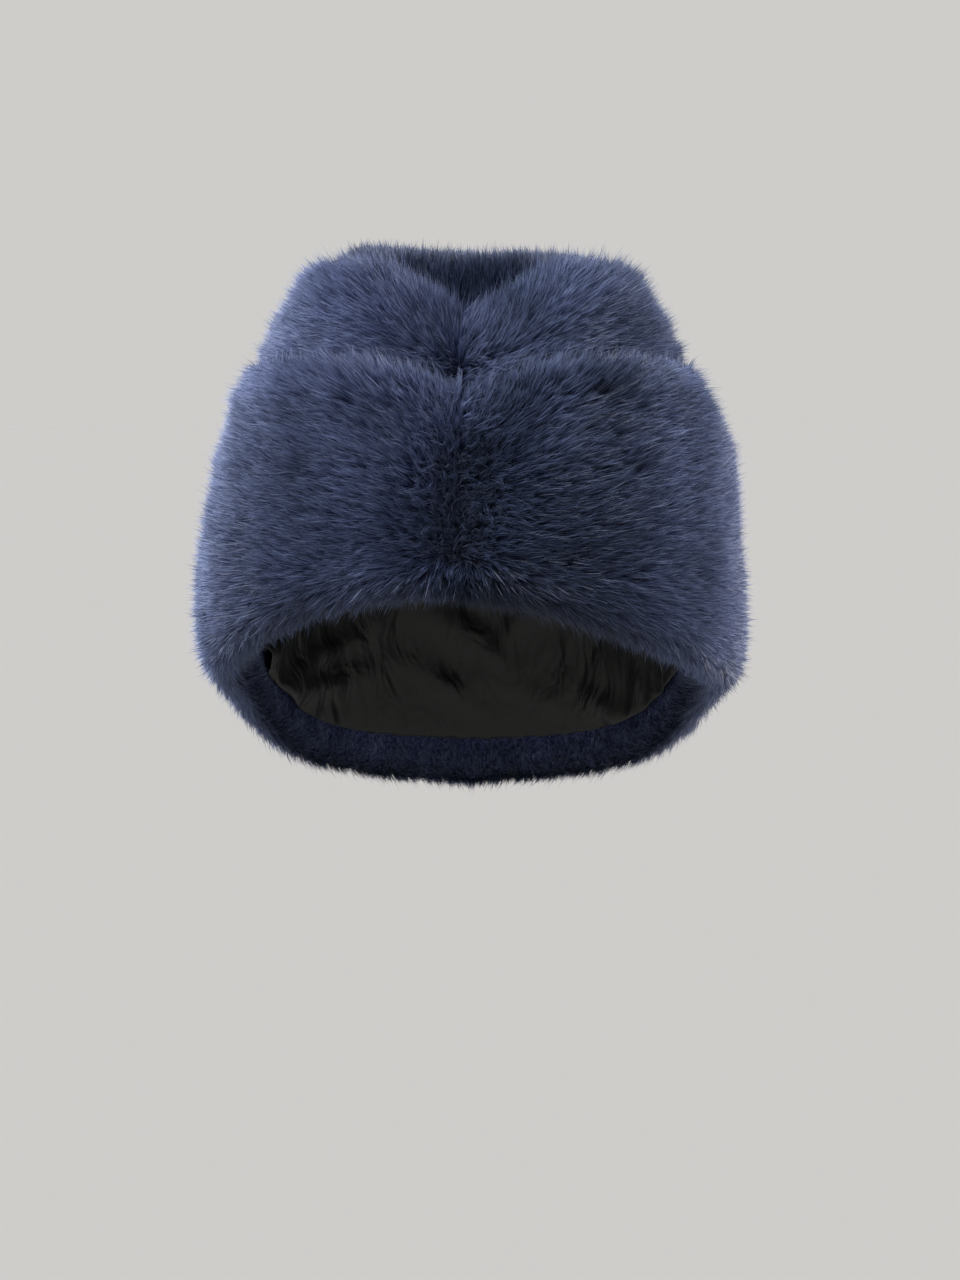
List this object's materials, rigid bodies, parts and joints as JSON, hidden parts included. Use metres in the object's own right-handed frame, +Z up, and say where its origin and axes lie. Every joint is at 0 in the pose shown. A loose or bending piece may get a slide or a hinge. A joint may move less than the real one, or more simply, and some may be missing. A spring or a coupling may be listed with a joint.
{
  "type": "fur hat",
  "caption": "Tall soft fur hat in two draped bands with V notches at the front centre, a flat crown, a rolled slanting rim and a gathered satin lining.",
  "frame": {"origin": "the head seat, where the top of the head touches the lining on the hat's middle line", "axes": "+Z up with the crown level as worn, -Y towards the front of the hat, +X to the wearer's left"},
  "size_m": [0.2456, 0.2381, 0.2858],
  "materials": {
    "fur": "short dense dyed fur, blue-grey, soft sheen",
    "satin": "black satin with a soft gloss"
  },
  "bodies": {
    "root": {"lower_band": "fur", "upper_band": "fur", "crown_top": "fur", "lining": "satin"}
  },
  "joints": []
}
